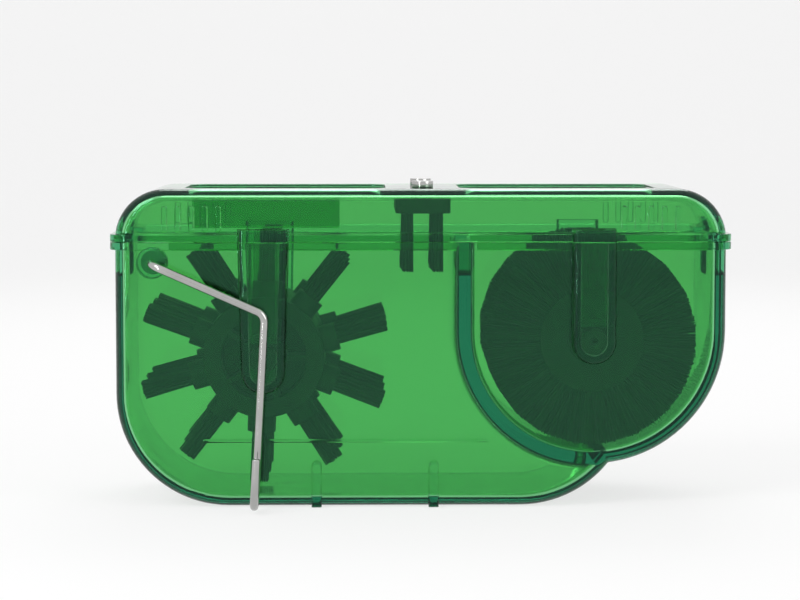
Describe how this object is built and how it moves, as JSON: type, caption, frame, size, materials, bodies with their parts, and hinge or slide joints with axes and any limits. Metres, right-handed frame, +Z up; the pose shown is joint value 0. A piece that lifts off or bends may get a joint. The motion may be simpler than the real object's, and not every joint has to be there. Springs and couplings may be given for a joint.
{
  "type": "bicycle chain cleaner",
  "caption": "Transparent two-chamber chain cleaner with lift-off lid, spinning brush wheels, hanging bristles and a steel hook wire that holds on to the derailleur.",
  "frame": {"origin": "middle of the bath's flat underside, between its two rounded lower corners", "axes": "+X along the chain from the hook wire's end to the second chamber, +Y to the back, away from the hook wire, +Z up"},
  "size_m": [0.1485, 0.0633, 0.0777],
  "materials": {
    "green_plastic": "clear green moulded plastic",
    "black_plastic": "satin black moulded plastic",
    "bristle": "matt black nylon bristle",
    "stainless_steel": "drawn stainless wire"
  },
  "bodies": {
    "tank": {"tank_shell": "green_plastic"},
    "lid": {"lid_shell": "green_plastic", "lid_brush_block": "black_plastic", "lid_tufts_left": "bristle", "lid_tufts_right": "bristle", "brush_screws": "stainless_steel"},
    "scrub_wheel": {"scrub_axle": "black_plastic", "scrub_hub": "black_plastic", "scrub_tufts_front": "bristle", "scrub_tufts_middle": "bristle", "scrub_tufts_rear": "bristle"},
    "wipe_wheel": {"wipe_axle": "black_plastic", "wipe_hub": "black_plastic", "wipe_bristles_front": "bristle", "wipe_bristles_middle": "bristle", "wipe_bristles_rear": "bristle"},
    "hook": {"hook_wire": "stainless_steel", "hook_push_nut": "stainless_steel"}
  },
  "joints": [
    {"name": "scrub_wheel_spin", "type": "hinge", "parent": "tank", "child": "scrub_wheel", "pos_m": [-0.0266, 0, 0.0358], "axis": [0, 1, 0], "continuous": true},
    {"name": "wipe_wheel_spin", "type": "hinge", "parent": "tank", "child": "wipe_wheel", "pos_m": [0.0521, 0, 0.03975], "axis": [0, 1, 0], "continuous": true},
    {"name": "lid_lift", "type": "slide", "parent": "tank", "child": "lid", "axis": [0, 0, 1], "range_m": [0, 0.05]},
    {"name": "hook_swing", "type": "hinge", "parent": "tank", "child": "hook", "pos_m": [-0.053, 0, 0.0586], "axis": [0, 1, 0], "range_deg": [0, 200]}
  ]
}
